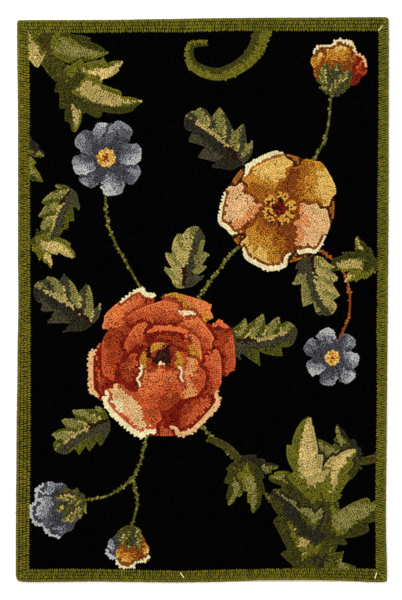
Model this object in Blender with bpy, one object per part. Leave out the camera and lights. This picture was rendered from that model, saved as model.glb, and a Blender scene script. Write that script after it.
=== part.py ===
"""A flat hooked rug, lying face up.

The rug is two pieces: the hooked face, which is a cotton canvas filled with wool loops, and the thin
cotton backing cloth stuck to its underside.  It lies flat on z = 0 with its length along Y, and the
origin is in the middle of the underside.  Both pieces start from the same plain rectangle.  Each side
then wanders in by the few millimetres of its own table, because a hand-hooked edge is never straight.
"""

import math
from collections import namedtuple

import bmesh
import bpy

MM = 0.001

# Driving dimensions
RUG_WIDTH = 610 * MM
RUG_LENGTH = 924 * MM
BACKING_THICKNESS = 1.2 * MM
FACE_THICKNESS = 6.5 * MM
PIECE_GAP = 0.3 * MM

# Relief of the hooked face
BORDER_WIDTH = 20 * MM
BORDER_ROWS = 4
ROW_GROOVE = 0.6 * MM
EDGE_ROUND = 3.6 * MM
EDGE_ROUND_STEPS = 4
EDGE_WALL_SHARE = 0.42
CANVAS_FOLD_INSET = 1.2 * MM
PILE_SWELL = 0.3 * MM
PILE_SWELL_LENGTH = 180 * MM

# Largest spacing of the points over the middle of a piece
FACE_STEP = 48 * MM
BACKING_STEP = 90 * MM

# How far a side lies inside the plain rectangle, at a share of the way along that side.  Left and
# right run from the near end to the far end, near and far from left to right.
EdgePoint = namedtuple("EdgePoint", "share inset_mm")
Corner = namedtuple("Corner", "right far radius_mm")
Outline = namedtuple("Outline", "left right near far corners")

FACE_OUTLINE = Outline(
    left=[EdgePoint(0.00, 0.0), EdgePoint(0.10, 0.0), EdgePoint(0.25, 0.9), EdgePoint(0.40, 2.8),
          EdgePoint(0.50, 4.5), EdgePoint(0.57, 3.8), EdgePoint(0.80, 4.0), EdgePoint(1.00, 2.2)],
    right=[EdgePoint(0.00, 3.5), EdgePoint(0.10, 5.6), EdgePoint(0.30, 4.2), EdgePoint(0.50, 2.3),
           EdgePoint(0.68, 1.1), EdgePoint(1.00, 1.0)],
    near=[EdgePoint(0.00, 0.7), EdgePoint(0.06, 0.3), EdgePoint(0.20, 1.1), EdgePoint(0.44, 0.0),
          EdgePoint(0.55, 0.8), EdgePoint(0.66, 3.8), EdgePoint(0.80, 3.9), EdgePoint(0.90, 2.3),
          EdgePoint(0.95, 0.1), EdgePoint(1.00, 0.0)],
    far=[EdgePoint(0.00, 5.1), EdgePoint(0.25, 4.8), EdgePoint(0.40, 3.3), EdgePoint(0.50, 2.0),
         EdgePoint(0.75, 0.9), EdgePoint(1.00, 0.0)],
    corners=[Corner(False, False, 7.5), Corner(True, False, 4.5), Corner(False, True, 4.0),
             Corner(True, True, 6.5)],
)

# The cloth is hidden under the face, but for a stretch of the near side and two corners
BACKING_OUTLINE = Outline(
    left=[EdgePoint(0.00, 0.4), EdgePoint(0.009, 0.6), EdgePoint(0.025, 3.4), EdgePoint(0.25, 4.6),
          EdgePoint(0.50, 8.2), EdgePoint(0.80, 7.8), EdgePoint(1.00, 6.0)],
    right=[EdgePoint(0.00, 6.9), EdgePoint(0.10, 9.0), EdgePoint(0.30, 7.7), EdgePoint(0.50, 5.8),
           EdgePoint(0.68, 4.6), EdgePoint(0.985, 4.4), EdgePoint(0.9945, 0.0), EdgePoint(1.00, 0.0)],
    near=[EdgePoint(0.00, 0.6), EdgePoint(0.014, 0.9), EdgePoint(0.034, 4.0), EdgePoint(0.20, 4.8),
          EdgePoint(0.44, 3.6), EdgePoint(0.54, 4.2), EdgePoint(0.57, 0.2), EdgePoint(0.93, 0.0),
          EdgePoint(0.95, 3.4), EdgePoint(1.00, 3.4)],
    far=[EdgePoint(0.00, 8.6), EdgePoint(0.25, 8.2), EdgePoint(0.50, 5.5), EdgePoint(0.75, 4.3),
         EdgePoint(0.968, 3.4), EdgePoint(0.990, 0.0), EdgePoint(1.00, 0.0)],
    corners=[Corner(False, False, 1.5), Corner(True, False, 2.0), Corner(False, True, 2.0),
             Corner(True, True, 1.5)],
)

OLIVE_WOOL = (0.115, 0.125, 0.018, 1.0)
BLACK_WOOL = (0.008, 0.008, 0.009, 1.0)
ECRU_COTTON = (0.72, 0.64, 0.48, 1.0)


def clear_startup_objects():
    for thing in list(bpy.data.objects):
        bpy.data.objects.remove(thing, do_unlink=True)


def make_collection(name):
    collection = bpy.data.collections.new(name)
    bpy.context.scene.collection.children.link(collection)
    return collection


def make_material(name, colour, roughness, sheen):
    material = bpy.data.materials.new(name)
    material.use_nodes = True
    shader = material.node_tree.nodes["Principled BSDF"]
    shader.inputs["Base Color"].default_value = colour
    shader.inputs["Roughness"].default_value = roughness
    shader.inputs["Metallic"].default_value = 0.0
    shader.inputs["Sheen Weight"].default_value = sheen
    material.diffuse_color = colour
    return material


def edge_inset(points, share):
    """How far a side lies inside the rectangle, eased from one point of its table to the next."""
    for start, end in zip(points[:-1], points[1:]):
        if share <= end.share:
            way = (share - start.share) / (end.share - start.share)
            eased = 0.5 - 0.5 * math.cos(math.pi * max(0.0, way))
            return (start.inset_mm + (end.inset_mm - start.inset_mm) * eased) * MM
    return points[-1].inset_mm * MM


def round_corner(outline, across, along):
    """Moves a point near a corner of the rectangle so that the square corner becomes an arc."""
    for corner in outline.corners:
        radius = corner.radius_mm * MM
        from_side = RUG_WIDTH - across if corner.right else across
        from_end = RUG_LENGTH - along if corner.far else along
        if from_side >= radius or from_end >= radius:
            continue
        out_x = 1.0 - from_side / radius
        out_y = 1.0 - from_end / radius
        reach = max(out_x, out_y) / math.hypot(out_x, out_y)
        from_side = radius * (1.0 - out_x * reach)
        from_end = radius * (1.0 - out_y * reach)
        across = RUG_WIDTH - from_side if corner.right else from_side
        along = RUG_LENGTH - from_end if corner.far else from_end
    return across, along


def place(outline, across, along):
    """The x and y on the uneven piece of a point of the plain rectangle."""
    across, along = round_corner(outline, across, along)
    share_x = across / RUG_WIDTH
    share_y = along / RUG_LENGTH
    left = edge_inset(outline.left, share_y)
    right = RUG_WIDTH - edge_inset(outline.right, share_y)
    near = edge_inset(outline.near, share_x)
    far = RUG_LENGTH - edge_inset(outline.far, share_x)
    x = left + (right - left) * share_x - RUG_WIDTH / 2
    y = near + (far - near) * share_y - RUG_LENGTH / 2
    return x, y


def spread(rim, length, step, shares):
    """Stations along one direction: the rim's at both ends, even ones between, and the side's turns."""
    start = rim[-1]
    count = math.ceil((length - 2 * start) / step)
    middle = [start + (length - 2 * start) * i / count for i in range(1, count)]
    extra = [share * length for share in shares if start < share * length < length - start]
    middle = [m for m in middle if all(abs(m - e) > step / 5 for e in extra)]
    return sorted(rim + middle + extra + [length - r for r in rim])


def face_rim():
    """Stations over the border: close together round the edge, then a crest and a groove a row."""
    quarter = [0.5 * math.pi * i / EDGE_ROUND_STEPS for i in range(EDGE_ROUND_STEPS + 1)]
    rounded = [EDGE_ROUND * (1.0 - math.cos(angle)) for angle in quarter]
    half_row = BORDER_WIDTH / BORDER_ROWS / 2
    rows = [half_row * i for i in range(2, 2 * BORDER_ROWS + 1)]
    return rounded + rows


def face_height(across, along):
    """Height of the pile over the canvas: rounded at the edge, grooved between the border's rows."""
    from_edge = min(across, along, RUG_WIDTH - across, RUG_LENGTH - along)
    swell = PILE_SWELL * (
        math.sin(2 * math.pi * across / PILE_SWELL_LENGTH + 0.8)
        * math.cos(2 * math.pi * along / (1.3 * PILE_SWELL_LENGTH))
    )
    height = FACE_THICKNESS - PILE_SWELL + swell * min(1.0, from_edge / BORDER_WIDTH)
    if from_edge < BORDER_WIDTH:
        row = BORDER_WIDTH / BORDER_ROWS
        height -= ROW_GROOVE * (0.5 + 0.5 * math.cos(2 * math.pi * from_edge / row))
    if from_edge < EDGE_ROUND:
        rise = math.sqrt(max(0.0, 1.0 - (1.0 - from_edge / EDGE_ROUND) ** 2))
        wall = EDGE_WALL_SHARE * FACE_THICKNESS
        height = wall + (height - wall) * rise
    return height


def backing_height(across, along):
    return BACKING_THICKNESS


def build_sheet(name, outline, stations, height, base, fold_inset):
    """A closed flat piece: a grid shaped by its outline and height, with a flat underside."""
    columns, rows = stations
    mesh = bmesh.new()
    bmesh.ops.create_grid(
        mesh, x_segments=len(columns) - 1, y_segments=len(rows) - 1, size=0.5
    )
    plain = {}
    for vert in mesh.verts:
        across = columns[round((vert.co.x + 0.5) * (len(columns) - 1))]
        along = rows[round((vert.co.y + 0.5) * (len(rows) - 1))]
        plain[vert] = (across, along)
    for vert, (across, along) in plain.items():
        x, y = place(outline, across, along)
        vert.co = (x, y, base + height(across, along))

    rim = [edge for edge in mesh.edges if edge.is_boundary]
    rim_plain = {(v.co.x, v.co.y): plain[v] for edge in rim for v in edge.verts}
    wall = bmesh.ops.extrude_edge_only(mesh, edges=rim)["geom"]
    for vert in (item for item in wall if isinstance(item, bmesh.types.BMVert)):
        across, along = rim_plain[(vert.co.x, vert.co.y)]
        across = min(max(across, fold_inset), RUG_WIDTH - fold_inset)
        along = min(max(along, fold_inset), RUG_LENGTH - fold_inset)
        x, y = place(outline, across, along)
        vert.co = (x, y, base)
    foot = [edge for edge in mesh.edges if edge.is_boundary]
    bmesh.ops.contextual_create(mesh, geom=foot)
    bmesh.ops.recalc_face_normals(mesh, faces=mesh.faces)

    data = bpy.data.meshes.new(name)
    mesh.to_mesh(data)
    mesh.free()
    data.shade_smooth()
    data.set_sharp_from_angle(angle=math.radians(40))
    return bpy.data.objects.new(name, data)


def turns(*sides):
    """The shares at which a side changes, where the grid needs a station."""
    return [point.share for side in sides for point in side if 0.0 < point.share < 1.0]


def build_hooked_face():
    outline = FACE_OUTLINE
    stations = (
        spread(face_rim(), RUG_WIDTH, FACE_STEP, turns(outline.near, outline.far)),
        spread(face_rim(), RUG_LENGTH, FACE_STEP, turns(outline.left, outline.right)),
    )
    base = BACKING_THICKNESS + PIECE_GAP
    face = build_sheet("hooked_face", outline, stations, face_height, base, CANVAS_FOLD_INSET)
    face.data.materials.append(make_material("black ground wool", BLACK_WOOL, 0.95, 0.2))
    face.data.materials.append(make_material("olive border wool", OLIVE_WOOL, 0.95, 0.3))
    for polygon in face.data.polygons:
        x, y, z = polygon.center
        in_ground = (
            abs(x) < RUG_WIDTH / 2 - BORDER_WIDTH and abs(y) < RUG_LENGTH / 2 - BORDER_WIDTH
        )
        polygon.material_index = 0 if in_ground and polygon.normal.z > 0 else 1
    return face


def build_backing_cloth():
    outline = BACKING_OUTLINE
    rim = [0.0, 1.0 * MM, 2.5 * MM, 6.0 * MM]
    stations = (
        spread(rim, RUG_WIDTH, BACKING_STEP, turns(outline.near, outline.far)),
        spread(rim, RUG_LENGTH, BACKING_STEP, turns(outline.left, outline.right)),
    )
    cloth = build_sheet("backing_cloth", outline, stations, backing_height, 0.0, 0.0)
    cloth.data.materials.append(make_material("ecru backing cotton", ECRU_COTTON, 0.9, 0.1))
    return cloth


clear_startup_objects()
rug = make_collection("hooked rug")
for build_piece in (build_backing_cloth, build_hooked_face):
    rug.objects.link(build_piece())
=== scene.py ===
"""A flat hooked rug, lying face up on a pale floor.

The rug is dressed on its fixed frame in the order in which it is made: the backing cloth, the canvas,
the border rows, the flowers and leaves, and last the black ground round them, all in wool loops.
"""

import math
from types import SimpleNamespace

import bpy
import numpy as np
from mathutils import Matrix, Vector, bvhtree, kdtree


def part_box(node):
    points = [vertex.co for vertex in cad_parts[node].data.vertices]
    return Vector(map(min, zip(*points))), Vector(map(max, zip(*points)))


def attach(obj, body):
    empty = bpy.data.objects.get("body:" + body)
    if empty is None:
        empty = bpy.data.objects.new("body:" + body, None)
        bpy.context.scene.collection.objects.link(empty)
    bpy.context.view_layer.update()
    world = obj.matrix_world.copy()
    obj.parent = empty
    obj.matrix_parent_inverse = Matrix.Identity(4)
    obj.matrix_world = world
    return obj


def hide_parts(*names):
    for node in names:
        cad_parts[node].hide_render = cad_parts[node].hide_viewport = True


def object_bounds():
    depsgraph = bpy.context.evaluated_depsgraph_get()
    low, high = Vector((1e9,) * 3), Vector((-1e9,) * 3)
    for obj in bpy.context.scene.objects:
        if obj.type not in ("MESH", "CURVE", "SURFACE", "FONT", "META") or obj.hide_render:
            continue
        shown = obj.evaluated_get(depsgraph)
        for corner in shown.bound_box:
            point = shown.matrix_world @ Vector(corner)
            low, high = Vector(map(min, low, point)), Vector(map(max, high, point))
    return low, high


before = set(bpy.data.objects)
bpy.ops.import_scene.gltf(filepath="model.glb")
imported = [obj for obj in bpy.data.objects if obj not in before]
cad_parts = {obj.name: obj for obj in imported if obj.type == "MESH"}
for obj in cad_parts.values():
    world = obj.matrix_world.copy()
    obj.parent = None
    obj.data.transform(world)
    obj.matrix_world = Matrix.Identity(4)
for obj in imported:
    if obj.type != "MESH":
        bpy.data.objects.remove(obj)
cad_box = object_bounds()
MM = 0.001

# ----------------------------------------
# Camera.  It hangs straight above the rug with a long lens, so that all four edges show square.
# A pixel of the 402 by 600 picture is 1.634 mm on top of the pile.
PIXEL = 1.634 * MM
PICTURE_HEIGHT = 600 * PIXEL
LENS = 240
SENSOR = 36
CAMERA_ASIDE = (-2.2 * MM, -0.6 * MM)

pile_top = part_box("hooked_face")[1].z
camera_rise = PICTURE_HEIGHT * LENS / SENSOR
bpy.ops.object.camera_add(location=(*CAMERA_ASIDE, pile_top + camera_rise), rotation=(0, 0, 0))
camera = bpy.context.object
camera.data.lens = LENS
camera.data.sensor_width = SENSOR
bpy.context.scene.camera = camera

# ----------------------------------------
# Floor and light.  The floor is plain white paper, lit until it is all but blank.  Most of the
# light is even and comes from above, with a softer key from the upper left that models the pile.
FLOOR_SIDE = 9.0
FLOOR_DROP = 0.4 * MM
WORLD_LIGHT = 0.85
WARM_WHITE = (1.0, 0.995, 0.985)
PAPER_WHITE = (0.80, 0.80, 0.80, 1.0)


def feed(node, inputs):
    """Gives inputs of a shader node their values, or links them to outputs of other nodes."""
    for name, source in inputs.items():
        if isinstance(source, bpy.types.NodeSocket):
            node.id_data.links.new(source, node.inputs[name])
        else:
            node.inputs[name].default_value = source


def new_material(name, inputs):
    """A material whose surface has such values."""
    material = bpy.data.materials.new(name)
    material.use_nodes = True
    feed(material.node_tree.nodes["Principled BSDF"], inputs)
    return material


def area_lamp(name, place, side, power, colour):
    """A square soft box that points at the rug and never shows itself."""
    bpy.ops.object.light_add(type="AREA", location=place)
    lamp = bpy.context.object
    lamp.name = name
    lamp.rotation_euler = (-Vector(place)).to_track_quat("-Z", "Y").to_euler()
    lamp.data.size = side
    lamp.data.energy = power
    lamp.data.color = colour
    lamp.visible_camera = False


area_lamp("key light", (-1.9, 1.6, 2.3), side=1.4, power=80, colour=(1.0, 0.985, 0.955))
area_lamp("overhead light", (0.3, -0.4, 3.4), side=3.0, power=85, colour=WARM_WHITE)

world = bpy.data.worlds.new("white room")
world.use_nodes = True
feed(world.node_tree.nodes["Background"], {"Color": (*WARM_WHITE, 1.0), "Strength": WORLD_LIGHT})
bpy.context.scene.world = world
bpy.context.scene.view_settings.view_transform = "Standard"

bpy.ops.mesh.primitive_plane_add(size=FLOOR_SIDE, location=(0, 0, -FLOOR_DROP))
floor = bpy.context.object
floor.name = "floor"
paper = new_material("white paper floor", {"Base Color": PAPER_WHITE, "Roughness": 0.9})
floor.data.materials.append(paper)

# ----------------------------------------
# Backing cloth.  A piece of undyed plain-woven cotton, cut by eye a little smaller than the face
# and glued flat to its underside.  It peeps out along part of the near edge and at two corners.
RUG_WIDTH = cad_box[1].x - cad_box[0].x
RUG_LENGTH = cad_box[1].y - cad_box[0].y
HALF_RUG = np.array([RUG_WIDTH, RUG_LENGTH]) / 2
BORDER_WIDTH = 20 * MM
FIELD_LOW = np.array([-282.3, -440.2]) * MM
FIELD_HIGH = np.array([284.7, 437.9]) * MM
FIELD_STRAY = {  # mm by which the border's inner edge strays, at even steps along each side
    "left": (0.2, 0.8, 2.6, 2.3, 1.8, 1.2, 1.2, 0.5, 0.6, -0.5),
    "right": (-0.8, -2.1, -0.7, 1.0, 0.0, 1.6, 1.5, 2.6, 3.6, 3.7),
    "near": (-0.3, 1.1, 0.0, -1.6, -2.9, -0.7, 0.3, 1.5, 2.1, 0.7),
    "far": (-2.1, -2.6, -1.9, -0.8, -1.6, 0.7, 0.8, 0.5, 0.5, 0.5),
}
CLOTH_STEP = 8 * MM
CLOTH_CORNERS = np.array([1.5, 2.0, 2.0, 1.5]) * MM  # near left, near right, far left, far right
CLOTH_FRAY = 0.22 * MM
CLOTH_CLEAR = 2.5 * MM
SIDE_STEP = 2.5 * MM
THREAD_PITCH = 1.1 * MM
ECRU = (0.60, 0.55, 0.40, 1.0)
# painted shade of the same cotton, where its threads dip under
ECRU_PAINTED_SHADE = (0.46, 0.41, 0.28, 1.0)
CUT_ROUNDING = 0.28
SMOOTH_UP_TO = math.radians(50)
SIDES = {"left": (0, -1), "right": (0, 1), "near": (1, -1), "far": (1, 1)}


def skin_of(node):
    """The surface of a node of the frame, for rays to touch."""
    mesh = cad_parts[node].data
    return bvhtree.BVHTree.FromPolygons(
        [vert.co for vert in mesh.vertices], [face.vertices for face in mesh.polygons]
    )


def feel_sides(node, height, clear):
    """Where a node's four sides run at a height: rays from outside touch it every few millimetres.

    They keep clear of the corners.  The rug is a few millimetres longer at one side than at the
    other, so a ray may still pass over a shorter side, and what it touches then doesn't count.
    """
    skin = skin_of(node)
    low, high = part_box(node)
    lines = {}
    for side, (axis, sign) in SIDES.items():
        first, last = low[1 - axis] + clear, high[1 - axis] - clear
        towards = Vector((0, 0, 0))
        towards[axis] = -sign
        touches = []
        for station in np.linspace(first, last, round((last - first) / SIDE_STEP)):
            start = Vector((station, station, height))
            start[axis] = sign * RUG_LENGTH
            touch = skin.ray_cast(start, towards)[0][axis]
            if sign * touch > HALF_RUG[axis] - BORDER_WIDTH:
                touches.append((station, touch))
        lines[side] = np.array(touches).T
    return lines


def fit_to_sides(points, lines):
    """Points of the plain rectangle, moved so that its sides lie on a node's own uneven ones.

    The border's inner edge has its own small strays, whatever the outer edge does, so the border's
    width gives way to both.
    """
    x, y = points.T
    low = np.stack([np.interp(y, *lines["left"]), np.interp(x, *lines["near"])], 1)
    high = np.stack([np.interp(y, *lines["right"]), np.interp(x, *lines["far"])], 1)
    half_field = HALF_RUG - BORDER_WIDTH
    share = points.clip(-half_field, half_field) / half_field / 2 + 0.5
    in_field = FIELD_LOW + (FIELD_HIGH - FIELD_LOW) * share
    for side, (axis, sign) in SIDES.items():
        strays = np.array(FIELD_STRAY[side]) * MM
        steps = np.linspace(0, 1, len(strays))
        near_side = share[:, axis] if sign > 0 else 1 - share[:, axis]
        in_field[:, axis] += np.interp(share[:, 1 - axis], steps, strays) * near_side
    into_border = (np.abs(points) - half_field).clip(0, None) / BORDER_WIDTH
    return in_field + (np.where(points < 0, low, high) - in_field) * into_border


def round_corners(points, corners):
    """Points of the plain rectangle, with those in its square corners drawn in to an arc each."""
    points = points.copy()
    radius = corners[(points[:, 0] > 0) + 2 * (points[:, 1] > 0)][:, None]
    out = (np.abs(points) - (HALF_RUG - radius)) / radius
    corner = (out > 0).all(1)
    reach = out[corner].max(1) / np.hypot(*out[corner].T)
    drawn_in = HALF_RUG - radius[corner] * (1 - out[corner] * reach[:, None])
    points[corner] = drawn_in * np.sign(points[corner])
    return points


def mesh_points(piece):
    """The points of a piece as an array, one row each."""
    flat = np.empty(len(piece.data.vertices) * 3)
    piece.data.vertices.foreach_get("co", flat)
    return flat.reshape(-1, 3)


def finish_piece(piece, material, node):
    """What every piece of the rug gets: its finish and its body, while the frame's node that it stands
    for is hidden.
    """
    piece.data.materials.clear()
    piece.data.materials.append(material)
    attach(piece, "root")
    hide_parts(node)


def flat_cloth(name, lines, low, high, corners, fray):
    """A level cloth between two heights that fills a node's outline, with a slightly frayed cut."""
    bpy.ops.mesh.primitive_grid_add(
        x_subdivisions=round(RUG_WIDTH / CLOTH_STEP),
        y_subdivisions=round(RUG_LENGTH / CLOTH_STEP),
        size=1,
    )
    cloth = bpy.context.object
    cloth.name = name
    bpy.ops.object.mode_set(mode="EDIT")
    bpy.ops.transform.resize(value=(RUG_WIDTH, RUG_LENGTH, 1))
    bpy.ops.object.mode_set(mode="OBJECT")
    points = mesh_points(cloth)
    on_cut = (HALF_RUG - np.abs(points[:, :2])).min(1) < CLOTH_STEP / 4
    fitted = fit_to_sides(round_corners(points[:, :2], corners), lines)
    ragged = np.random.default_rng(len(name)).uniform(0, fray, len(points))
    fitted[on_cut] *= 1 - ragged[on_cut, None] / np.abs(fitted[on_cut]).max(1)[:, None]
    points[:, :2] = fitted
    points[:, 2] = high
    cloth.data.vertices.foreach_set("co", points.ravel())
    cloth.data.update()
    solid = cloth.modifiers.new("thickness", "SOLIDIFY")
    solid.thickness = high - low
    solid.offset = -1
    rounded = cloth.modifiers.new("soft cut", "BEVEL")
    rounded.width = (high - low) * CUT_ROUNDING
    rounded.segments = 2
    bpy.ops.object.modifier_apply(modifier=solid.name)
    bpy.ops.object.modifier_apply(modifier=rounded.name)
    bpy.ops.object.shade_smooth_by_angle(angle=SMOOTH_UP_TO)
    return cloth


def add_node(material, kind, inputs, **settings):
    """Adds a shader node of a kind to a material."""
    node = material.node_tree.nodes.new("ShaderNode" + kind)
    for name, value in settings.items():
        setattr(node, name, value)
    feed(node, inputs)
    return node


def finish_surface(material, colour, height, strength, relief):
    """Gives a material its colour, and a bump from its height."""
    bump = add_node(material, "Bump", {"Strength": strength, "Distance": relief, "Height": height})
    shader = material.node_tree.nodes["Principled BSDF"]
    feed(shader, {"Base Color": colour, "Normal": bump.outputs["Normal"]})


def woven_cotton(name, light, shade, pitch, relief):
    """Plain-woven cotton: warp and weft in turn on top, uneven threads, and slubs here and there, with
    painted shade where threads dip and painted light where they rise.
    """
    cotton = new_material(name, {"Roughness": 0.92, "Sheen Weight": 0.12, "Specular IOR Level": 0.25})
    place = add_node(cotton, "TexCoord", {}).outputs["Object"]
    thread = {"Vector": place, "Scale": math.pi / 10 / pitch, "Distortion": 0.6, "Detail": 1.0}
    warp, weft = (
        add_node(cotton, "TexWave", thread, bands_direction=axis).outputs["Fac"] for axis in "XY"
    )
    weave = add_node(cotton, "Math", {0: warp, 1: weft}, operation="MULTIPLY").outputs[0]
    slubs = add_node(cotton, "TexNoise", {"Vector": place, "Scale": 90, "Detail": 4}).outputs["Fac"]
    height = add_node(cotton, "Math", {0: weave, 1: slubs}, operation="ADD").outputs[0]
    # Painted light and shade: the shade colour where the weave lies low, the light colour where it
    # rises
    weave_light_and_shade = add_node(cotton, "ValToRGB", {"Fac": height})
    for stop, at, colour in zip(weave_light_and_shade.color_ramp.elements, (0.35, 1.15 / 1.5), (shade, light)):
        stop.position = at
        stop.color = colour
    finish_surface(cotton, weave_light_and_shade.outputs["Color"], height, 0.6, relief)
    return cotton


cloth_low, cloth_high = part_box("backing_cloth")
cloth_lines = feel_sides("backing_cloth", (cloth_low.z + cloth_high.z) / 2, CLOTH_CLEAR)
backing = flat_cloth(
    "backing_cotton", cloth_lines, cloth_low.z, cloth_high.z, CLOTH_CORNERS, CLOTH_FRAY
)
backing_finish = woven_cotton("undyed backing cotton", ECRU, ECRU_PAINTED_SHADE, THREAD_PITCH, 0.25 * MM)
finish_piece(backing, backing_finish, "backing_cloth")

# ----------------------------------------
# Canvas.  A coarse cotton canvas carries every loop.  Its edge stops just inside the outermost row,
# where the real one is turned under, so it shows nowhere but deep between the loops, and there
# its dark cotton is painted shadow.
CANVAS_THICKNESS = 1.0 * MM
FACE_CORNERS = np.array([10.0, 4.5, 4.0, 6.5]) * MM  # near left, near right, far left, far right
FACE_CLEAR = 9 * MM
FOOT_HEIGHT = 0.1 * MM
CANVAS_PITCH = 2.0 * MM
# Painted shadow: the canvas cotton is made dark so that the gaps between the loops read as shade
CANVAS_PAINTED_SHADOW = (0.036, 0.032, 0.012, 1.0)
CANVAS_PAINTED_SHADOW_DEEPER = (0.018, 0.016, 0.006, 1.0)

face_low, face_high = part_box("hooked_face")
canvas_top = face_low.z + CANVAS_THICKNESS
canvas_lines = feel_sides("hooked_face", face_low.z + FOOT_HEIGHT, FACE_CLEAR)
canvas = flat_cloth("canvas", canvas_lines, face_low.z, canvas_top, FACE_CORNERS, 0)
canvas_painted_shadow_finish = woven_cotton("rug canvas in painted shadow", CANVAS_PAINTED_SHADOW, CANVAS_PAINTED_SHADOW_DEEPER, CANVAS_PITCH, 0.3 * MM)
finish_piece(canvas, canvas_painted_shadow_finish, "hooked_face")

# ----------------------------------------
# One loop of wool.  The yarn comes up through the canvas, bends over and goes down again, so each
# loop is a soft upright lump, a little longer across its row.  It is modelled once at unit size.
LOOP_SHOULDER = 0.60
LOOP_SIDES = 8
SHOULDER_ROUNDING = 0.14
A_BIT = 0.01  # tells the loop's top, middle and foot apart


def pick(piece, test):
    """Selects the points of the edited piece that pass a test."""
    bpy.ops.mesh.select_mode(type="VERT")
    bpy.ops.mesh.select_all(action="DESELECT")
    bpy.ops.object.mode_set(mode="OBJECT")
    for vert in piece.data.vertices:
        vert.select = bool(test(vert.co))
    bpy.ops.object.mode_set(mode="EDIT")


def model_loop(ridge, foot, rounded=False):
    """A loop of unit size with a ridge so long and a foot so broad; one has a softer shoulder."""
    outer_radius = 0.5 / math.cos(math.pi / LOOP_SIDES)
    bpy.ops.mesh.primitive_circle_add(vertices=LOOP_SIDES, radius=outer_radius, location=(0, 0, 0))
    loop = bpy.context.object
    bpy.ops.object.mode_set(mode="EDIT")
    bpy.ops.mesh.select_all(action="SELECT")
    bpy.ops.transform.rotate(value=math.pi / LOOP_SIDES, orient_axis="Z", center_override=(0, 0, 0))
    bpy.ops.transform.translate(value=(0, 0, LOOP_SHOULDER))
    bpy.ops.mesh.extrude_region_move(TRANSFORM_OT_translate={"value": (0, 0, 1 - LOOP_SHOULDER)})
    for end in (-1, 1):
        pick(loop, lambda co: co.z > 1 - A_BIT and co.y * end > A_BIT)
        bpy.ops.mesh.merge(type="CENTER")
    pick(loop, lambda co: co.z > 1 - A_BIT)
    bpy.ops.transform.resize(value=(1, ridge, 1), center_override=(0, 0, 1))
    pick(loop, lambda co: co.z < 1 - A_BIT)
    bpy.ops.mesh.extrude_region_move(TRANSFORM_OT_translate={"value": (0, 0, -LOOP_SHOULDER)})
    for side_x in (-1, 1):
        for side_y in (-1, 1):
            pick(loop, lambda co: co.z < A_BIT and co.x * side_x > 0 and co.y * side_y > 0)
            bpy.ops.mesh.merge(type="CENTER")
    pick(loop, lambda co: co.z < A_BIT)
    bpy.ops.transform.resize(value=(foot, foot, 1), center_override=(0, 0, 0))
    bpy.ops.mesh.edge_face_add()
    if rounded:
        pick(loop, lambda co: A_BIT < co.z < 1 - A_BIT)
        bpy.ops.mesh.bevel(offset=SHOULDER_ROUNDING, segments=1, affect="EDGES")
    bpy.ops.mesh.select_all(action="SELECT")
    bpy.ops.mesh.normals_make_consistent(inside=False)
    bpy.ops.mesh.quads_convert_to_tris()
    bpy.ops.object.mode_set(mode="OBJECT")
    points = mesh_points(loop)
    triangles = np.array([tuple(face.vertices) for face in loop.data.polygons])
    bpy.data.objects.remove(loop)
    return SimpleNamespace(points=points, triangles=triangles)


plain_loop = model_loop(ridge=0.66, foot=1.50)
rib_loop = model_loop(ridge=0.86, foot=1.45)
edge_loop = model_loop(ridge=0.86, foot=1.12, rounded=True)

# ----------------------------------------
# Wool.  Every loop carries the colour of its yarn, darkened towards its root by painted shade, and
# the yarns are named here as a dyer would.  The finish adds what dyed wool shows: fine fibres and
# uneven dye, with hardly any gloss.
YARNS = {
    "black": "040404", "olive": "625b14", "green olive": "5b5c14", "brown olive": "665b15",
    "leaf olive": "605d16", "dark olive": "3a390f", "moss": "4b4b12", "sage": "757038",
    "tan": "9c8a4f", "sand": "b39c5f", "pine": "29261a", "grey leaf": "3d3a26",
    "bark": "3c1c0c", "maroon": "2a120c", "red": "75180a", "brick": "933617",
    "coral": "ae4b25", "light coral": "bd5f31", "orange": "c46d38", "apricot": "c2804b",
    "peach": "c19a6a", "cream": "c2b890", "brown": "7a3d12", "ochre": "955717",
    "gold": "ac7624", "amber": "b88632", "yellow": "c19c50", "rust": "793b16",
    "navy": "3e3e45", "blue": "55565c", "grey blue": "77787c", "mist": "989896",
}
YARN_STRENGTH = 1.03


def linear(code):
    """The light that a two-digit-a-channel colour code stands for."""
    channel = np.array([int(code[i:i + 2], 16) for i in (0, 2, 4)]) / 255
    return np.where(channel <= 0.04045, channel / 12.92, ((channel + 0.055) / 1.055) ** 2.4)


yarn_colour = {yarn: linear(code) * YARN_STRENGTH for yarn, code in YARNS.items()}


def wool(name, gloss):
    """Dyed wool yarn in the colours that its loops carry."""
    yarn = new_material(name, {"Roughness": 0.95, "Specular IOR Level": gloss})
    place = add_node(yarn, "TexCoord", {}).outputs["Object"]
    # The yarn attribute holds each loop's dye together with the painted shade towards its root
    colour = add_node(yarn, "Attribute", {}, attribute_name="yarn").outputs["Color"]
    fibres, dye = (
        add_node(yarn, "TexNoise", {"Vector": place, "Scale": scale, "Detail": 2}).outputs["Fac"]
        for scale in (2200, 35)
    )
    for noise, spread in ((fibres, 0.20), (dye, 0.10)):
        limits = {"From Min": 0.3, "From Max": 0.7, "To Min": 1 - spread, "To Max": 1 + spread}
        shade = add_node(yarn, "MapRange", {"Value": noise, **limits}).outputs["Result"]
        tinted = add_node(yarn, "VectorMath", {0: colour, "Scale": shade}, operation="SCALE")
        colour = tinted.outputs["Vector"]
    finish_surface(yarn, colour, fibres, 0.5, 0.3 * MM)
    return yarn


coloured_wool = wool("coloured wool", gloss=0.06)
black_wool = wool("black wool", gloss=0.0)
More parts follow.
